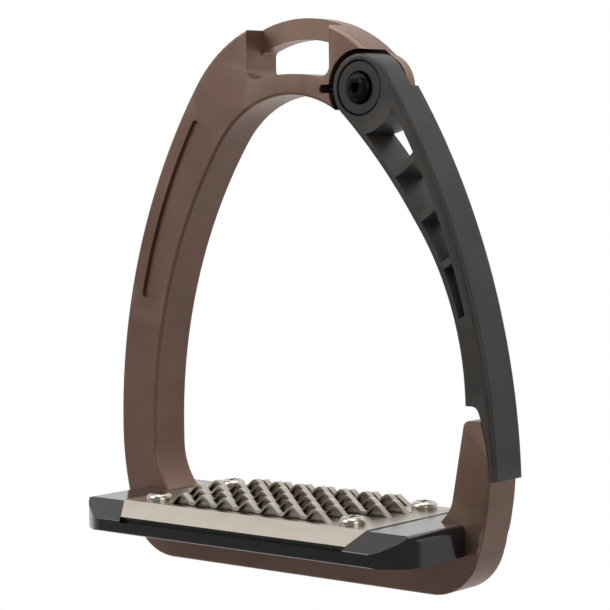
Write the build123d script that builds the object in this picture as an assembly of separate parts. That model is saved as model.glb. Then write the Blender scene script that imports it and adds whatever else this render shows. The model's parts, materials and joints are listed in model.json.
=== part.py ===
from build123d import *
import os
from math import atan2, cos, degrees, hypot, radians, sin, sqrt

os.makedirs("parts", exist_ok=True)

# Safety stirrup iron. X runs across the tread, Y from front (-) to back (+), Z up.
# The origin is at the middle of the underside of the bottom bar, on the mid plane
# of the branches. The hinged outer arm is on the +X side.

# ---- overall frame ----
height = 176.0            # underside of the bar to the top of the arch
half_width = 75.9         # mid plane to the widest point of a branch
depth = 14.5              # front to back of the branches
wide_z = 42.0             # height of the widest point
side_r = 195.3            # outer sweep of a branch above the widest point
low_r = 92.0              # outer sweep of a branch below the widest point
corner_r = 17.9           # outer corner under the bar
inner_half = 60.2         # mid plane to the inner face of a branch
inner_r = 161.0           # inner sweep of a branch
arch_t = 24.1             # thickness of the arch at its top
bar_t = 16.0              # height of the bottom bar
heel_r = 21.0             # inner corner between the bar and a branch
edge_r = 0.9              # broken edges of the metal frame

# ---- leather eye ----
eye_w = 34.0              # width of the eye
eye_floor_z = 158.4       # top of the web below the eye
eye_floor_r = 72.0        # crown of that web
eye_corner_r = 3.4
eye_top_r = 2.0            # under the leather bar, at its ends
eye_bar_t = 6.7           # height of the leather bar
eye_bar_y = 0.6           # front face of the leather bar

# ---- blank recess in the inner branch ----
panel_d = 1.0             # depth of the recess
panel_out = 5.2           # margin to the outer edge
panel_in = 4.8            # margin to the inner edge
panel_top_z = 145.0
panel_low_z = 86.3
panel_corner_r = 1.6

# ---- pivot ----
hub_r = 10.7              # boss of the arm
hub_deg = 42.0            # direction of the pivot from the arch centre
hub_proud = 0.7           # boss beyond the arch radius
hub_gap = 1.2             # round the boss, in the frame
lug_r = 10.7              # lug behind the boss
lug_from_deg = 64.0        # where the lug leaves the arch, seen from the pivot
horn_deg = 76.0            # where the front of the frame ends above the boss
lug_t = 3.65              # thickness of that lug
lug_room = 0.5            # round the lug, in the arm
shoulder_deg = 2.0         # where the full depth of the arm starts
slot_w = 2.7              # slot for the fixed leg of the spring
slot_len = 3.7
slot_d = 5.2
screw_r = 2.5             # pivot screw shank
screw_head_r = 4.6
screw_head_h = 2.7
screw_seat = 1.05         # head seat behind the front face
socket_af = 3.0
bush_r = 3.6              # bushing the arm turns on
bush_flange_t = 1.0
turn_gap = 0.05           # running clearance of the arm on the bushing
washer_r = 6.5
washer_t = 0.5
face_gap = 0.3            # axial and side gap between arm and frame
nut_r = 3.5
nut_flange_r = 5.2
nut_flange_t = 1.0
fit_gap = 0.02            # between pieces that are fixed together

# ---- cap and spring ----
cap_r = 8.2
cap_t = 2.1
cap_room = 0.45            # open ring round the cap
cap_drop = 0.25           # cap face behind the front face
cap_bore_r = 4.95
cavity_r = 7.7            # spring cavity
cavity_d = 6.75           # from the front face to the cavity floor
spring_r = 5.9
wire_r = 0.6
spring_turns = 2.25
spring_pitch = 1.3
leg_y = -4.15             # line of the fixed leg
leg_open_deg = 60.0       # travel of the arm

# ---- arm ----
arm_proud = 2.1           # lap beyond the branch at its lower end
lap_z = 36.2              # lower end of the lap
stub_z = 53.9             # top of the frame stub
stub_r = 2.4              # rounded inner corner of the stub
stub_w = 8.5              # width of the stub below its tip, to the branch face
stub_foot_w = 14.0        # width of the stub where its taper starts
stub_foot_z = 27.0
stub_heel_z = 18.5        # under the pad
stub_heel_w = 21.5
seat_r = 55.0             # curved seat on the stub that the lap closes on
seat_in = 0.2             # seat behind the branch face, at the end of the lap
step_z = 58.2             # shoulder of the arm above the stub
step_r = 2.6
arm_w_low = 8.4           # width of the arm at the shoulder
arm_w_mid = 8.5           # at the middle of its lower sweep
arm_w_up = 13.9           # at the top of its lower sweep
arm_w_root = 19.4         # near the hub
arm_mid_z = 85.0
arm_up_z = 113.0
arm_root_z = 130.9
arm_edge_r = 1.3
boss_wall_r = 14.3        # solid disc round the pivot
rib_pitch = 16.25
rib_t = 2.1
window_out = 3.5          # outer flange
window_in = 2.3           # inner flange
window_n = 4
window_end = 78.6         # from the pivot to the tip of the last window

# ---- tread ----
tread_y = -9.3            # middle of the tread; it is set forward of the branches
pad_half_x = 66.9
pad_end_r = 2.6           # rounded top of the end walls
pad_flat_y = 23.6         # flat top, half
pad_half_y = 30.3
pad_top_z = 22.7
pad_wall_z = 17.4         # top of the upright wall
pad_low_z = 13.2
pad_cut_x = 9.5           # cut corners of the pad, along X
pad_cut_y = 6.0           # and along Y
pad_corner_r = 9.0         # rounding of those corners
pad_edge_r = 0.7
pad_gap = 0.3             # pad to the frame
plate_t = 1.5
plate_top_z = 22.94
plate_half_x = 49.9
plate_half_y = 23.56
lip_out = 5.7             # sloped lip, out
lip_drop = 4.4            # and down
lip_cut = 3.8             # lip ends cut in
lip_gap = 0.5             # open line between the lip and the pad
tooth_pitch = 9.2
tooth_h = 3.7
tooth_valley_h = 1.2      # the strip between two teeth stays clear of the plate
tooth_w = 2.2              # width of a strip, front to back
tooth_slot = 4.2           # opening a strip is pressed out of
tooth_back = 0.6           # wall that closes the back of a tooth
tooth_t = 0.9
row_pitch = 8.8           # rows of open teeth
row_first_y = -20.5       # front edge of the first row, from the middle of the tread
row_counts = (7, 7, 9, 9, 7)
bump_y = 20.0             # row of closed teeth at the back
bump_n = 7
bump_h = 3.0
bump_w = 2.4
tscrew_x = 79.9           # tread screw pattern
tscrew_y = 35.35
tscrew_head_r = 4.15
tscrew_head_h = 2.4
tscrew_clear = 0.4         # round the head, in the teeth
tscrew_r = 2.0
tscrew_len = 5.6
tin_r = 2.9               # threaded insert under a tread screw
tin_len = 4.4
bar_screw_x = 48.0        # screws up through the bar
bar_screw_r = 2.5
bar_head_r = 4.6
bar_head_h = 2.6
pin_r = 3.6               # inserts those screws run into
pin_len = 4.4

half_d = depth / 2
lug_y = half_d - lug_t


# ---- derived profile of the branches ----
def side_arc(half, radius, top):
    """Side arc of a branch and the arch circle tangent to it."""
    c = radius - half
    k = radius - top
    zt = (c * c + wide_z * wide_z - k * k) / (2 * (k + wide_z))
    return c, zt, top - zt, degrees(atan2(zt - wide_z, c))


out_c, arch_z, arch_r, out_deg = side_arc(half_width, side_r, height)
in_c, vault_z, vault_r, in_deg = side_arc(inner_half, inner_r, height - arch_t)
hub_c = arch_r - hub_r + hub_proud
hub_x = hub_c * cos(radians(hub_deg))
hub_z = arch_z + hub_c * sin(radians(hub_deg))
cut_r = hub_r + hub_gap
seat_x = half_width - seat_in


def out_x(z):
    """Outer face of a branch at height z."""
    return sqrt(side_r ** 2 - (z - wide_z) ** 2) - out_c


def slab(face, y0, y1):
    """Solid from a face drawn in X and Z, between two depths."""
    return Pos(0, y1, 0) * extrude(Plane.XZ * face, amount=y1 - y0)


def disc(x, z, r):
    return Pos(x, z) * Circle(r)


def both_sides(edges):
    return make_face(edges + [e.mirror(Plane.YZ) for e in edges])


def outline_face():
    lc = half_width - low_r
    xf = lc + sqrt((low_r - corner_r) ** 2 - (wide_z - corner_r) ** 2)
    ta = degrees(atan2(corner_r - wide_z, xf - lc))
    return both_sides([
        Line((0, 0), (xf, 0)),
        CenterArc((xf, corner_r), corner_r, -90, 90 + ta),
        CenterArc((lc, wide_z), low_r, ta, -ta),
        CenterArc((-out_c, wide_z), side_r, 0, out_deg),
        CenterArc((0, arch_z), arch_r, out_deg, 90 - out_deg),
    ])


def inside_face():
    xi = inner_half - heel_r
    zh = bar_t + heel_r
    edges = [
        Line((0, bar_t), (xi, bar_t)),
        CenterArc((xi, zh), heel_r, -90, 90),
        CenterArc((-in_c, wide_z), inner_r, 0, in_deg),
        CenterArc((0, vault_z), vault_r, in_deg, 90 - in_deg),
    ]
    if wide_z > zh:
        edges.append(Line((inner_half, zh), (inner_half, wide_z)))
    return both_sides(edges)


# ---- frame ----
def round_rims(solid, radius, y):
    rims = solid.edges().filter_by(lambda e: abs(e.center().Y - y) < 0.01)
    return fillet(rims, radius)


def arm_gap_face(notch):
    """Part of the outline that the arm takes the place of."""
    a = radians(hub_deg)
    under = (hub_x - 16 * cos(a), hub_z - 16 * sin(a))
    start = radians(lug_from_deg)
    if notch:
        under = (hub_x - 6, hub_z - 6)
        start = radians(horn_deg)
    top = (hub_x + 3 * hub_r * cos(start), hub_z + 3 * hub_r * sin(start))
    pts = [(hub_x, hub_z), top, (height, top[1])]
    pts += [(height, stub_z), (under[0], stub_z), under]
    face = make_face(Polyline(*pts, close=True))
    if notch:
        face += disc(hub_x, hub_z, cut_r)
    return face


def seat_face():
    """Outside of the curved seat that the lap closes on."""
    block = Pos(half_width + 10, (lap_z + stub_z) / 2 + 10) * Rectangle(30, stub_z - lap_z + 20)
    return block - disc(seat_x - seat_r, lap_z, seat_r)


def stub_taper_face():
    """Inside of the stub: it narrows towards its tip and runs out into the bar."""
    tip_x = out_x(stub_z) - stub_w
    foot_x = half_width - stub_foot_w
    heel_x = half_width - stub_heel_w
    face = make_face(Polyline(
        (tip_x + 0.1, stub_z + 1), (tip_x, stub_z), (foot_x, stub_foot_z), (heel_x, stub_heel_z),
        (inner_half - heel_r, stub_heel_z), (inner_half - heel_r, stub_z + 1), close=True))
    foot = face.vertices().filter_by(
        lambda v: abs(v.X - foot_x) < 0.01 and abs(v.Y - stub_foot_z) < 0.01)
    return fillet(foot, heel_r / 2)


def eye_faces():
    floor = Pos(0, eye_floor_z - eye_floor_r) * Circle(eye_floor_r)
    front = Pos(0, eye_floor_z + 20) * Rectangle(eye_w, 50) - floor
    low = front.vertices().filter_by(lambda v: v.Y < eye_floor_z)
    front = fillet(low, eye_corner_r)
    through = front & disc(0, arch_z, arch_r - eye_bar_t)
    through = fillet(through.vertices().sort_by(Axis.Y)[-2:], eye_top_r)
    return front, through


def panel_face():
    """Long blank recess that follows both edges of the inner branch."""
    ring = disc(out_c, wide_z, side_r - panel_out) - disc(in_c, wide_z, inner_r + panel_in)
    x0 = -out_x(panel_top_z)
    clip = make_face(Polyline(
        (x0 - 8, panel_top_z + 9), (x0 + 22, panel_top_z - 9),
        (x0 + 22, panel_low_z), (x0 - 60, panel_low_z), close=True))
    face = ring & clip
    return fillet(face.vertices(), panel_corner_r)


def make_frame():
    ring = slab(outline_face() - inside_face(), -half_d, half_d)
    ring = round_rims(ring, edge_r, -half_d)
    body = round_rims(ring, edge_r, half_d)
    body -= slab(arm_gap_face(True), -half_d - 1, lug_y)
    body -= slab(arm_gap_face(False), lug_y - 0.01, half_d + 1)
    body += slab(disc(hub_x, hub_z, lug_r), lug_y, half_d)
    body -= slab(seat_face(), -half_d - 1, half_d + 1)
    body -= slab(stub_taper_face(), -half_d - 1, half_d + 1)
    tip = body.edges().filter_by(Axis.Y).filter_by(
        lambda e: abs(e.center().Z - stub_z) < 0.01)
    tip = tip.sort_by(Axis.X)
    body = fillet(tip[0], stub_r)
    front, through = eye_faces()
    body -= slab(front, -half_d - 1, eye_bar_y)
    body -= slab(through, -half_d - 1, half_d + 1)
    body -= slab(panel_face(), -half_d - 1, -half_d + panel_d)
    x_end = hub_x - cut_r - slot_len + slot_w / 2
    slot = Pos((x_end + hub_x - hub_r) / 2, hub_z) * Rectangle(hub_x - hub_r - x_end, slot_w)
    slot += disc(x_end, hub_z, slot_w / 2)
    body -= slab(slot, -half_d - 1, -half_d + slot_d)
    body -= slab(disc(hub_x, hub_z, nut_r + fit_gap), 0, half_d + 1)
    body -= slab(disc(hub_x, hub_z, nut_flange_r + fit_gap), half_d - nut_flange_t, half_d + 1)
    for sx in (-1, 1):
        at = Pos(sx * bar_screw_x / 2, 0, 0)
        body -= at * Cylinder(bar_screw_r + 0.1, bar_t * 3)
        body -= at * bar_sink(fit_gap)
    return body


def bar_sink(gap):
    """Countersunk head space in the underside of the bar."""
    cone = Cone(bar_head_r + gap, bar_screw_r + gap, bar_head_h)
    return Pos(0, 0, bar_head_h / 2) * cone


# ---- arm ----
def arm_arc():
    a = radians(38)
    p0 = (hub_x + hub_r * cos(a), hub_z + hub_r * sin(a))
    zm = (arm_up_z + arm_mid_z) / 2 - 3.5
    return ThreePointArc(p0, (out_x(zm) - 0.1, zm), (half_width + arm_proud, lap_z))


def blade_face():
    outer = arm_arc()
    a = radians(hub_deg + 180)
    p1 = (hub_x + hub_r * cos(a), hub_z + hub_r * sin(a))
    lap_r = seat_r + face_gap
    cx = seat_x - seat_r
    lap_x = cx + lap_r
    top_x = cx + sqrt(lap_r ** 2 - (step_z - lap_z) ** 2)
    mid_z = (lap_z + step_z) / 2
    mid_x = cx + sqrt(lap_r ** 2 - (mid_z - lap_z) ** 2)
    low = (out_x(step_z) - arm_w_low, step_z)
    mid = (out_x(arm_mid_z) - arm_w_mid, arm_mid_z)
    up = (out_x(arm_up_z) - arm_w_up, arm_up_z)
    root = (out_x(arm_root_z) - arm_w_root, arm_root_z)
    face = make_face([
        outer,
        Line(outer @ 1, (lap_x, lap_z)),
        ThreePointArc((lap_x, lap_z), (mid_x, mid_z), (top_x, step_z)),
        Line((top_x, step_z), low),
        ThreePointArc(low, mid, up),
        ThreePointArc(up, root, p1),
        Line(p1, outer @ 0),
    ])
    corner = face.vertices().filter_by(lambda v: abs(v.X - top_x) < 0.01 and abs(v.Y - step_z) < 0.01)
    return fillet(corner, step_r)


def window_faces():
    """Windows between ribs that are concentric with the pivot."""
    arc = arm_arc()
    inner = offset(blade_face(), -window_in, kind=Kind.INTERSECTION)
    zone = inner & disc(arc.arc_center.X, arc.arc_center.Y, arc.radius - window_out)
    faces = []
    for i in range(window_n):
        r0 = boss_wall_r if i == 0 else boss_wall_r + i * rib_pitch + rib_t / 2 - 1
        r1 = boss_wall_r + (i + 1) * rib_pitch - rib_t / 2 - 1
        if i == window_n - 1:
            r1 = window_end
        faces.append(zone & (disc(hub_x, hub_z, r1) - disc(hub_x, hub_z, r0)))
    return faces


def shoulder_face():
    """Behind the boss the arm is cut back as far as a line out from the pivot."""
    low = radians(shoulder_deg)
    high = radians(hub_deg + 30)
    far_r = 3 * hub_r
    return make_face(Polyline(
        (hub_x, hub_z), (hub_x + far_r * cos(low), hub_z + far_r * sin(low)),
        (hub_x + far_r * cos(high), hub_z + far_r * sin(high)), close=True))


def make_arm():
    body = slab(blade_face() + disc(hub_x, hub_z, hub_r), -half_d, half_d)
    hub_back = half_d - lug_t - washer_t - face_gap
    body -= slab(disc(hub_x, hub_z, lug_r + lug_room) + shoulder_face(), hub_back, half_d + 1)
    far = body.edges().filter_by(lambda e: abs(abs(e.center().Y) - half_d) < 0.01)
    far = far.filter_by(lambda e: e.length > 60 and e.center().X > out_x(e.center().Z) - 6)
    body = fillet(far, arm_edge_r)
    for face in window_faces():
        body -= slab(face, -half_d - 1, half_d + 1)
    body -= slab(disc(hub_x, hub_z, cap_r + cap_room), -half_d - 1, -half_d + cap_drop + cap_t)
    body -= slab(disc(hub_x, hub_z, cavity_r), -half_d - 1, -half_d + cavity_d)
    body -= slab(disc(hub_x, hub_z, bush_r + turn_gap), -half_d - 1, half_d + 1)
    wall = disc(hub_x, hub_z, hub_r + 3) - disc(hub_x, hub_z, cavity_r - 1)
    a0 = radians(180 - leg_open_deg - 10)
    a1 = radians(190)
    am = radians((360 + 10 - 10 - leg_open_deg) / 2)
    far_r = hub_r * 2
    wedge = make_face(Polyline(
        (hub_x, hub_z),
        (hub_x + far_r * cos(a0), hub_z + far_r * sin(a0)),
        (hub_x + far_r * cos(am), hub_z + far_r * sin(am)),
        (hub_x + far_r * cos(a1), hub_z + far_r * sin(a1)), close=True))
    body -= slab(wall & wedge, leg_y - wire_r - 0.4, leg_y + wire_r + 0.4)
    floor_y = -half_d + cavity_d
    body -= Pos(spring_tail_xz()[0], floor_y + 0.5, spring_tail_xz()[1]) * Rot(90, 0, 0) * Cylinder(
        wire_r + 0.15, 3.4)
    return body


def spring_tail_xz():
    a = radians(180 - 360 * (spring_turns % 1))
    return hub_x + spring_r * cos(a), hub_z + spring_r * sin(a)


# ---- pivot hardware ----
def on_pivot(shape):
    """Stand a piece built on +Z on the pivot, with its +Z towards the front."""
    return Pos(hub_x, 0, hub_z) * Rot(90, 0, 0) * shape


def ring_along(r_out, r_in, front, back):
    body = Pos(0, 0, -(front + back) / 2) * Cylinder(r_out, back - front)
    return on_pivot(body - Pos(0, 0, -(front + back) / 2) * Cylinder(r_in, back - front + 2))


def make_pivot_screw():
    seat = -half_d + screw_seat
    end = half_d - 0.3
    shank = Pos(0, 0, -(seat + end) / 2) * Cylinder(screw_r, end - seat)
    head = Pos(0, 0, -seat + screw_head_h / 2) * Cylinder(screw_head_r, screw_head_h)
    rim = head.edges().filter_by(GeomType.CIRCLE).sort_by(Axis.Z)[-1]
    head = fillet(rim, screw_head_h * 0.72)
    key = extrude(RegularPolygon(socket_af / sqrt(3), 6), 4)
    body = shank + head - Pos(0, 0, -seat + screw_head_h - 1.7) * key
    return on_pivot(body)


def make_bushing():
    seat = -half_d + screw_seat
    flange = ring_along(screw_head_r - 0.1, screw_r + turn_gap, seat, seat + bush_flange_t)
    return flange + ring_along(bush_r, screw_r + turn_gap, seat + 0.1, lug_y)


def make_washer():
    return ring_along(washer_r, bush_r + turn_gap, lug_y - washer_t, lug_y)


def make_nut():
    barrel = ring_along(nut_r, screw_r + fit_gap, lug_y + 0.05, half_d - 0.1)
    flange_y = half_d - nut_flange_t
    return barrel + ring_along(nut_flange_r, screw_r + fit_gap, flange_y, half_d - 0.1)


def make_cap():
    front = -half_d + cap_drop
    body = ring_along(cap_r, cap_bore_r, front, front + cap_t)
    rim = body.edges().filter_by(GeomType.CIRCLE).sort_by(Axis.Y)[0:2]
    return chamfer(rim, 0.3)


def make_spring():
    """Coil on the pivot line: one leg runs out into the frame slot, one into the arm."""
    coil_h = spring_turns * spring_pitch
    path = Helix(spring_pitch, coil_h, spring_r)
    path = Rot(0, 0, 180) * Rot(180, 0, 0) * path
    path = Pos(0, 0, -leg_y) * path
    start = path @ 0
    end = path @ 1
    section = Plane(start, z_dir=path % 0) * Circle(wire_r)
    coil = sweep(section, path=path, is_frenet=True)
    leg_len = hub_r + slot_len * 0.75 - spring_r
    side = 1 if start.X > 0 else -1
    tail_low = half_d - cavity_d - 1.6
    thin = wire_r - 0.02
    leg = Pos(start.X + side * leg_len / 2, start.Y, start.Z) * Rot(0, 90, 0) * Cylinder(thin, leg_len)
    tail = Pos(end.X, end.Y, (end.Z + tail_low) / 2) * Cylinder(thin, end.Z - tail_low)
    body = coil + Pos(*start) * Sphere(wire_r + 0.02) + Pos(*end) * Sphere(wire_r + 0.02)
    body = body + leg + tail
    return on_pivot(body)


# ---- tread ----
def pad_profile():
    """Cross section of the pad in Y and Z."""
    face = make_face(Polyline(
        (-pad_half_y, pad_low_z), (-pad_half_y, pad_wall_z), (-pad_flat_y, pad_top_z),
        (pad_flat_y, pad_top_z), (pad_half_y, pad_wall_z), (pad_half_y, pad_low_z), close=True))
    return fillet(face.vertices(), pad_edge_r)


def pad_ends():
    """Long section of the pad in X and Z, with the tops of its ends rounded."""
    h = pad_top_z - pad_low_z
    face = Pos(0, pad_low_z + h / 2) * Rectangle(2 * pad_half_x, h)
    high = face.vertices().filter_by(lambda v: v.Y > pad_low_z + h / 2)
    return fillet(high, pad_end_r)


def pad_plan():
    xa = pad_half_x - pad_cut_x
    yb = pad_half_y - pad_cut_y
    face = make_face(Polyline(
        (xa, -pad_half_y), (pad_half_x, -yb), (pad_half_x, yb), (xa, pad_half_y),
        (-xa, pad_half_y), (-pad_half_x, yb), (-pad_half_x, -yb), (-xa, -pad_half_y), close=True))
    return fillet(face.vertices(), pad_corner_r)


def across(face, half_x):
    """Bar along X from a section drawn in Y and Z."""
    return Pos(-half_x, tread_y, 0) * extrude(Plane.YZ * face, amount=2 * half_x)


def leg_notch():
    """Room for the branches: everything outside the inner profile, and the stub."""
    around = Rectangle(4 * half_width, 2 * wide_z)
    inner = inside_face() + stub_taper_face()
    return around - offset(inner, -pad_gap)


def make_pad():
    body = across(pad_profile(), pad_half_x + 1)
    body &= Pos(0, tread_y, 0) * extrude(pad_plan(), pad_top_z + 5)
    body &= slab(pad_ends(), -2 * pad_half_y, 2 * pad_half_y)
    body -= plate_bed()
    body -= slab(leg_notch(), -half_d - pad_gap, half_d + pad_gap)
    for x, y in tread_points():
        body -= Pos(x, y, plate_top_z) * Cylinder(tin_r + fit_gap, 2 * (plate_t + tin_len + 0.1))
    for sx in (-1, 1):
        x = sx * bar_screw_x / 2
        top = bar_t + pad_gap + pin_len
        body -= Pos(x, 0, top / 2) * Cylinder(pin_r + fit_gap, top)
    return body


def tread_points():
    pts = []
    for sy in (-1, 1):
        for sx in (-1, 1):
            pts.append((sx * tscrew_x / 2, tread_y + sy * tscrew_y / 2))
    return pts


def lip_points():
    """End of the sloped lip, and the run of its underside, in Y and Z."""
    y1 = plate_half_y + lip_out
    z1 = plate_top_z - lip_drop
    n = hypot(lip_out, lip_drop)
    return y1, z1, plate_t * lip_drop / n, plate_t * lip_out / n


def plate_section():
    y0 = plate_half_y
    z0 = plate_top_z
    y1, z1, ty, tz = lip_points()
    return make_face(Polyline(
        (-y1, z1), (-y0, z0), (y0, z0), (y1, z1), (y1 - ty, z1 - tz),
        (y0 - ty / 2, z0 - plate_t), (-y0 + ty / 2, z0 - plate_t), (-y1 + ty, z1 - tz), close=True))


def bed_section():
    """Bed of the plate: under its underside, then a step down and out below the lip."""
    y0 = plate_half_y
    z0 = plate_top_z
    y1, z1, ty, tz = lip_points()
    yo = pad_half_y + 2
    zs = z1 - tz - lip_gap
    return make_face(Polyline(
        (-yo, zs), (-yo, z0 + 3), (yo, z0 + 3), (yo, zs), (y1 - ty, zs), (y1 - ty, z1 - tz),
        (y0 - ty / 2, z0 - plate_t), (-y0 + ty / 2, z0 - plate_t), (-y1 + ty, z1 - tz),
        (-y1 + ty, zs), close=True))


def lip_plan(gap):
    """Plan of the plate, with the ends of both lips cut in."""
    y0 = plate_half_y
    y1 = y0 + lip_out + 5
    c = lip_cut * (lip_out + 5) / lip_out
    xw = plate_half_x
    return make_face(Polyline(
        (-xw, -y0), (-xw + c - gap, -y1), (xw - c + gap, -y1), (xw, -y0),
        (xw, y0), (xw - c + gap, y1), (-xw + c - gap, y1), (-xw, y0), close=True))


def plate_blank():
    body = across(plate_section(), plate_half_x)
    return body & Pos(0, tread_y, 0) * extrude(lip_plan(0), pad_top_z + 10)


def plate_bed():
    body = across(bed_section(), plate_half_x)
    return body & Pos(0, tread_y, 0) * extrude(lip_plan(lip_gap), pad_top_z + 10)


def tooth_line(count, h, low):
    """Outline of a row of round-topped teeth, with the valleys at height low."""
    half = count * tooth_pitch / 2
    g = low / h
    shape = ((0.10, g), (0.33, g + 0.74 * (1 - g)), (0.44, 1), (0.56, 1),
             (0.67, g + 0.74 * (1 - g)), (0.90, g))
    pts = [(-half - 0.4, plate_top_z)]
    for i in range(count):
        x = -half + i * tooth_pitch
        for f, z in shape:
            if i == 0 and f == 0.10 or i == count - 1 and f == 0.90:
                continue
            pts.append((x + tooth_pitch * f, plate_top_z + h * z))
    pts.append((half + 0.4, plate_top_z))
    return pts


def tooth_row(count, y):
    """A slit strip of the plate pressed up into teeth, open at the front only."""
    top = tooth_line(count, tooth_h, tooth_valley_h)
    low = [(x, z - tooth_t) for x, z in reversed(top)]
    face = make_face(Polyline(*(top + low), close=True))
    strip = slab(face, y - tooth_w / 2, y + tooth_w / 2)
    shut = make_face(Polyline(*(top + [(top[-1][0], low[0][1]), (top[0][0], low[0][1])]), close=True))
    return strip + slab(shut, y + tooth_w / 2 - tooth_back, y + tooth_w / 2)


def bump_row(count, y):
    """Closed teeth along the back."""
    top = tooth_line(count, bump_h, 0)
    low = [(top[-1][0], plate_top_z - tooth_t), (top[0][0], plate_top_z - tooth_t)]
    face = make_face(Polyline(*(top + low), close=True))
    return slab(face, y - bump_w / 2, y + bump_w / 2)


def row_list():
    rows = []
    for i, count in enumerate(row_counts):
        rows.append((count, tread_y + row_first_y + tooth_w / 2 + i * row_pitch))
    return rows


def make_plate():
    body = plate_blank()
    for count, y in row_list():
        mid = y + (tooth_slot - tooth_w) / 2 - 0.3
        body -= Pos(0, mid, plate_top_z) * Box(count * tooth_pitch, tooth_slot, 4 * plate_t)
    for count, y in row_list():
        body += tooth_row(count, y)
    body += bump_row(bump_n, tread_y + bump_y)
    for x, y in tread_points():
        body -= Pos(x, y, plate_top_z) * Cylinder(tscrew_r + 0.15, 20)
        body -= Pos(x, y, plate_top_z + tooth_h / 2 + 1) * Cylinder(
            tscrew_head_r + tscrew_clear, tooth_h + 2)
    return body


def make_tread_screw(x, y):
    head = Pos(0, 0, tscrew_head_h / 2) * Cylinder(tscrew_head_r, tscrew_head_h)
    rim = head.edges().filter_by(GeomType.CIRCLE).sort_by(Axis.Z)[-1]
    head = fillet(rim, tscrew_head_h * 0.7)
    shank = Pos(0, 0, -tscrew_len / 2) * Cylinder(tscrew_r, tscrew_len)
    body = head + shank
    for a in (0, 90):
        body -= Pos(0, 0, tscrew_head_h - 0.6) * Rot(0, 0, a + 20) * Box(4.6, 1.0, 1.6)
    return Pos(x, y, plate_top_z) * body


def make_tread_insert(x, y):
    top = plate_top_z - plate_t
    body = Cylinder(tin_r, tin_len) - Cylinder(tscrew_r + fit_gap, tin_len + 2)
    return Pos(x, y, top - tin_len / 2) * body


def make_bar_screw(x):
    top = bar_t + pad_gap + pin_len - 0.4
    shank = Pos(0, 0, top / 2) * Cylinder(bar_screw_r, top)
    body = shank + bar_sink(0)
    key = extrude(RegularPolygon(socket_af / sqrt(3), 6), 1.6)
    return Pos(x, 0, 0) * (body - key)


def make_pad_insert(x):
    low = bar_t + pad_gap
    body = Cylinder(pin_r, pin_len) - Cylinder(bar_screw_r + fit_gap, pin_len + 2)
    return Pos(x, 0, low + pin_len / 2) * body


def save(shape, name):
    export_step(shape, "parts/" + name + ".step")


save(make_frame(), "frame")
save(make_arm(), "arm_body")
save(make_cap(), "pivot_cap")
save(make_pivot_screw(), "pivot_screw")
save(make_bushing(), "pivot_bushing")
save(make_washer(), "pivot_washer")
save(make_nut(), "pivot_nut")
save(make_spring(), "torsion_spring")
save(make_pad(), "tread_pad")
save(make_plate(), "grip_plate")
for name, point in zip(("front_left", "front_right", "back_left", "back_right"), tread_points()):
    save(make_tread_screw(*point), "tread_screw_" + name)
    save(make_tread_insert(*point), "tread_insert_" + name)
for name, sx in (("left", -1), ("right", 1)):
    save(make_bar_screw(sx * bar_screw_x / 2), "bar_screw_" + name)
    save(make_pad_insert(sx * bar_screw_x / 2), "pad_insert_" + name)
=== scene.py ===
import json
from math import cos, radians, sin

import bpy
from mathutils import Matrix, Vector

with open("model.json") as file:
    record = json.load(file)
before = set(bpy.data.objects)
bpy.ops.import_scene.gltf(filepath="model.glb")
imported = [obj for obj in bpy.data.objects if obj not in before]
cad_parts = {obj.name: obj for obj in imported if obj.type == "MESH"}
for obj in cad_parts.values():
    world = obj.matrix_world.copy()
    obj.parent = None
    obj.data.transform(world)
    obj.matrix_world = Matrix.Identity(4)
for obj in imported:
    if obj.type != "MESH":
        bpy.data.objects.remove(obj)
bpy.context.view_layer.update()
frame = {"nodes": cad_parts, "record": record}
nodes = frame["nodes"]
scene = bpy.context.scene
MM = 0.001

# ---- camera: direction in degrees, distances in metres, aim in millimetres ----
CAMERA_AZIMUTH = 40.19
CAMERA_RISE = 3.97
CAMERA_ROLL = -0.86
CAMERA_DISTANCE = 0.6836
CAMERA_LENS = 129.29
TREAD_Y = -9.3              # middle of the tread
CAMERA_AIM = (7.64, TREAD_Y, 86.37)

# ---- backdrop: its direction, and its strength away from it and along it ----
BACKDROP_DIRECTION = (-0.60, 0.71, 0.36)
BACKDROP_DARK = 0.30
BACKDROP_WHITE = 1.0

# ---- painted edge highlight: surface convexity where it starts and where it is full ----
EDGE_START = 0.53
EDGE_FULL = 0.62


# ---- shader helpers ----
def rgb(r, g, b):
    """Linear colour from an 8 bit one."""
    def lin(c):
        c = c / 255
        return c / 12.92 if c <= 0.04045 else ((c + 0.055) / 1.055) ** 2.4
    return (lin(r), lin(g), lin(b), 1.0)


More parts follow.
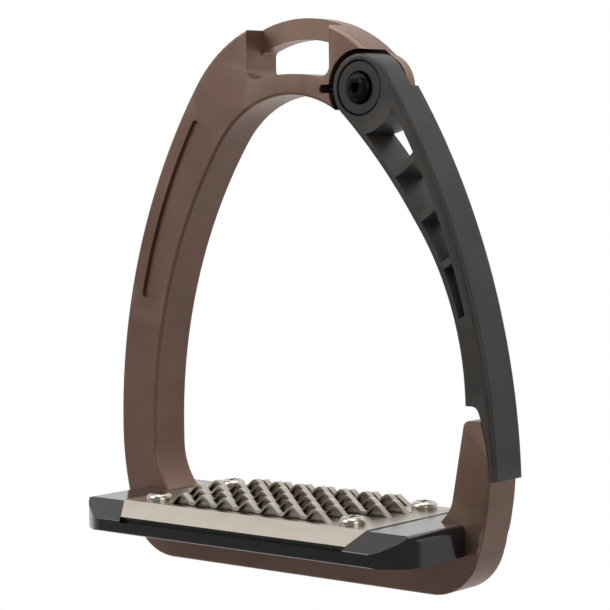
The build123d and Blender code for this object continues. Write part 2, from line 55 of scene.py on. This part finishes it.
class Look:
    """One material: a base colour, grain, a painted highlight on convex edges, roughness and
    bump.
    """

    def __init__(self, name, metallic, ior=1.5):
        self.mat = bpy.data.materials.new(name)
        self.mat.use_nodes = True
        self.tree = self.mat.node_tree
        self.shader = self.tree.nodes["Principled BSDF"]
        self.shader.inputs["Metallic"].default_value = metallic
        self.shader.inputs["IOR"].default_value = ior

    def add(self, kind, **values):
        node = self.tree.nodes.new(kind)
        for key, value in values.items():
            setattr(node, key, value)
        return node

    def link(self, a, b):
        self.tree.links.new(a, b)

    def place(self, scale=(1, 1, 1)):
        """Object coordinates in millimetres, stretched by scale."""
        where = self.add("ShaderNodeTexCoord")
        fit = self.add("ShaderNodeMapping")
        fit.inputs["Scale"].default_value = tuple(1000 * s for s in scale)
        self.link(where.outputs["Object"], fit.inputs["Vector"])
        return fit.outputs["Vector"]

    def noise(self, size, scale=(1, 1, 1), detail=3.0):
        """Noise whose features are about size millimetres across."""
        node = self.add("ShaderNodeTexNoise")
        node.inputs["Scale"].default_value = 1 / size
        node.inputs["Detail"].default_value = detail
        self.link(self.place(scale), node.inputs["Vector"])
        return node.outputs["Fac"]

    def ramp(self, source, low, high, start=0.3, end=0.7):
        node = self.add("ShaderNodeValToRGB")
        node.color_ramp.elements[0].position = start
        node.color_ramp.elements[1].position = end
        node.color_ramp.elements[0].color = low
        node.color_ramp.elements[1].color = high
        self.link(source, node.inputs["Fac"])
        return node.outputs["Color"]

    def span(self, source, low, high):
        node = self.add("ShaderNodeMapRange")
        node.inputs["To Min"].default_value = low
        node.inputs["To Max"].default_value = high
        self.link(source, node.inputs["Value"])
        return node.outputs["Result"]

    def paint_edge_highlight(self, base, highlight_colour, amount):
        """Mixes in a lighter colour where the surface is sharply convex: a painted highlight
        on the edges.
        """
        geo = self.add("ShaderNodeNewGeometry")
        pick = self.add("ShaderNodeMapRange")
        pick.inputs["From Min"].default_value = EDGE_START
        pick.inputs["From Max"].default_value = EDGE_FULL
        pick.inputs["To Max"].default_value = amount
        self.link(geo.outputs["Pointiness"], pick.inputs["Value"])
        mix = self.add("ShaderNodeMix", data_type="RGBA")
        self.link(pick.outputs["Result"], mix.inputs["Factor"])
        self.link(base, mix.inputs[6])
        mix.inputs[7].default_value = highlight_colour
        return mix.outputs[2]

    def finish(self, colour, rough, bump=None, height=0.02):
        self.link(colour, self.shader.inputs["Base Color"])
        self.link(rough, self.shader.inputs["Roughness"])
        if bump is not None:
            node = self.add("ShaderNodeBump")
            node.inputs["Strength"].default_value = 0.35
            node.inputs["Distance"].default_value = height * MM
            self.link(bump, node.inputs["Height"])
            self.link(node.outputs["Normal"], self.shader.inputs["Normal"])
        return self.mat


def anodised(name):
    """Satin bronze anodised aluminium with a fine bead-blasted grain."""
    look = Look(name, 0.85)
    broad = look.noise(26, detail=2)
    base = look.ramp(broad, rgb(120, 95, 84), rgb(133, 107, 95))
    fine = look.noise(0.35)
    # painted highlight: a lighter colour on sharply convex edges
    colour = look.paint_edge_highlight(base, rgb(158, 134, 118), 0.6)
    rough = look.span(look.noise(5), 0.34, 0.46)
    return look.finish(colour, rough, fine, 0.012)


def moulded(name, low, high, highlight_colour, rough_low, rough_high, grain, coat=0.0):
    look = Look(name, 0.0, 1.47)
    base = look.ramp(look.noise(14, detail=2), low, high)
    # painted highlight: a lighter colour on sharply convex edges
    colour = look.paint_edge_highlight(base, highlight_colour, 0.5)
    rough = look.span(look.noise(3), rough_low, rough_high)
    look.shader.inputs["Coat Weight"].default_value = coat
    look.shader.inputs["Coat Roughness"].default_value = 0.08
    return look.finish(colour, rough, look.noise(grain), 0.02)


def brushed(name, low, high, highlight_colour, rough_low, rough_high, along=(0.02, 1, 1)):
    """Metal with hair lines along one axis."""
    look = Look(name, 1.0)
    hair = look.noise(0.35, along, 2)
    base = look.ramp(look.noise(9, detail=2), low, high)
    # painted highlight: a lighter colour on sharply convex edges
    colour = look.paint_edge_highlight(base, highlight_colour, 0.6)
    rough = look.span(hair, rough_low, rough_high)
    return look.finish(colour, rough, hair, 0.01)


# the third colour of each moulded and brushed material is the painted highlight on its convex
# edges
MATERIALS = {
    "frame_metal": anodised("frame_metal"),
    "arm_plastic": moulded("arm_plastic", rgb(38, 34, 31), rgb(50, 45, 40), rgb(78, 72, 66),
                           0.40, 0.52, 0.5),
    "cap_plastic": moulded("cap_plastic", rgb(30, 28, 27), rgb(40, 38, 36), rgb(64, 60, 57),
                           0.34, 0.46, 0.5),
    "pad_plastic": moulded("pad_plastic", rgb(9, 9, 10), rgb(14, 14, 15), rgb(32, 32, 34),
                           0.12, 0.20, 0.8, 0.25),
    "plate_steel": brushed("plate_steel", rgb(150, 142, 131), rgb(166, 157, 145),
                           rgb(206, 199, 188), 0.26, 0.40),
    "screw_steel": brushed("screw_steel", rgb(178, 171, 160), rgb(194, 187, 176),
                           rgb(228, 223, 214), 0.16, 0.26, (1, 1, 1)),
    "dark_steel": brushed("dark_steel", rgb(24, 22, 21), rgb(34, 31, 30), rgb(74, 70, 67),
                          0.30, 0.42, (1, 1, 1)),
    "plain_steel": brushed("plain_steel", rgb(150, 148, 145), rgb(168, 165, 161),
                           rgb(204, 200, 195), 0.28, 0.40, (1, 1, 1)),
    "spring_steel": brushed("spring_steel", rgb(30, 29, 28), rgb(42, 41, 40), rgb(84, 82, 80),
                            0.26, 0.38, (1, 1, 1)),
    "brass": brushed("brass", rgb(176, 142, 78), rgb(196, 162, 96), rgb(226, 200, 140),
                     0.24, 0.36, (1, 1, 1)),
    "washer_plastic": moulded("washer_plastic", rgb(196, 192, 182), rgb(210, 206, 196),
                              rgb(226, 222, 214), 0.36, 0.48, 0.6),
}

slot_of = {}
for entry in frame["record"]["subparts"]:
    slot_of[entry["node"]] = entry["material_slot"]
for name, obj in nodes.items():
    obj.data.materials.clear()
    obj.data.materials.append(MATERIALS[slot_of[name]])


# ---- backdrop, light and camera ----
def make_world():
    """White backdrop behind the object and above it, darker behind the camera and below."""
    world = bpy.data.worlds.new("studio")
    world.use_nodes = True
    tree = world.node_tree
    where = tree.nodes.new("ShaderNodeTexCoord")
    facing = tree.nodes.new("ShaderNodeVectorMath")
    facing.operation = "DOT_PRODUCT"
    facing.inputs[1].default_value = BACKDROP_DIRECTION
    span = tree.nodes.new("ShaderNodeMapRange")
    span.interpolation_type = "SMOOTHSTEP"
    span.inputs["From Min"].default_value = -0.35
    span.inputs["From Max"].default_value = 0.70
    span.inputs["To Min"].default_value = BACKDROP_DARK
    span.inputs["To Max"].default_value = BACKDROP_WHITE
    tree.links.new(where.outputs["Generated"], facing.inputs[0])
    tree.links.new(facing.outputs["Value"], span.inputs["Value"])
    back = tree.nodes["Background"]
    back.inputs["Color"].default_value = (1, 1, 1, 1)
    tree.links.new(span.outputs["Result"], back.inputs["Strength"])
    scene.world = world


def soft_light(name, place, aim, width, height, power):
    data = bpy.data.lights.new(name, "AREA")
    data.shape = "RECTANGLE"
    data.size = width
    data.size_y = height
    data.energy = power
    lamp = bpy.data.objects.new(name, data)
    scene.collection.objects.link(lamp)
    lamp.location = place
    lamp.rotation_mode = "QUATERNION"
    lamp.rotation_quaternion = (Vector(aim) - Vector(place)).to_track_quat("-Z", "Y")
    return lamp


def make_camera():
    """Long lens at the front, on the side of the hinged arm, just above the tread."""
    data = bpy.data.cameras.new("camera")
    data.sensor_width = 36.0
    data.lens = CAMERA_LENS
    data.clip_start = 0.01
    data.clip_end = 50
    cam = bpy.data.objects.new("camera", data)
    scene.collection.objects.link(cam)
    azimuth = radians(CAMERA_AZIMUTH)
    rise = radians(CAMERA_RISE)
    roll = radians(CAMERA_ROLL)
    aim = Vector(CAMERA_AIM) * MM
    back = Vector((sin(azimuth) * cos(rise), -cos(azimuth) * cos(rise), sin(rise)))
    right = (-back).cross(Vector((0, 0, 1))).normalized()
    up = right.cross(-back)
    across = right * cos(roll) + up * sin(roll)
    upright = up * cos(roll) - right * sin(roll)
    turn = Matrix((across, upright, back)).transposed()
    cam.matrix_world = Matrix.Translation(aim + back * CAMERA_DISTANCE) @ turn.to_4x4()
    scene.camera = cam


make_world()
make_camera()
scene.view_settings.view_transform = "Standard"
soft_light("key", (-0.7, -0.9, 0.9), (0, 0, 0.08), 0.8, 0.8, 9)
soft_light("fill", (1.2, -0.5, 0.5), (0, 0, 0.08), 0.8, 0.9, 4)
soft_light("top", (0.0, 0.0, 1.3), (0, 0, 0.05), 1.0, 1.0, 9)
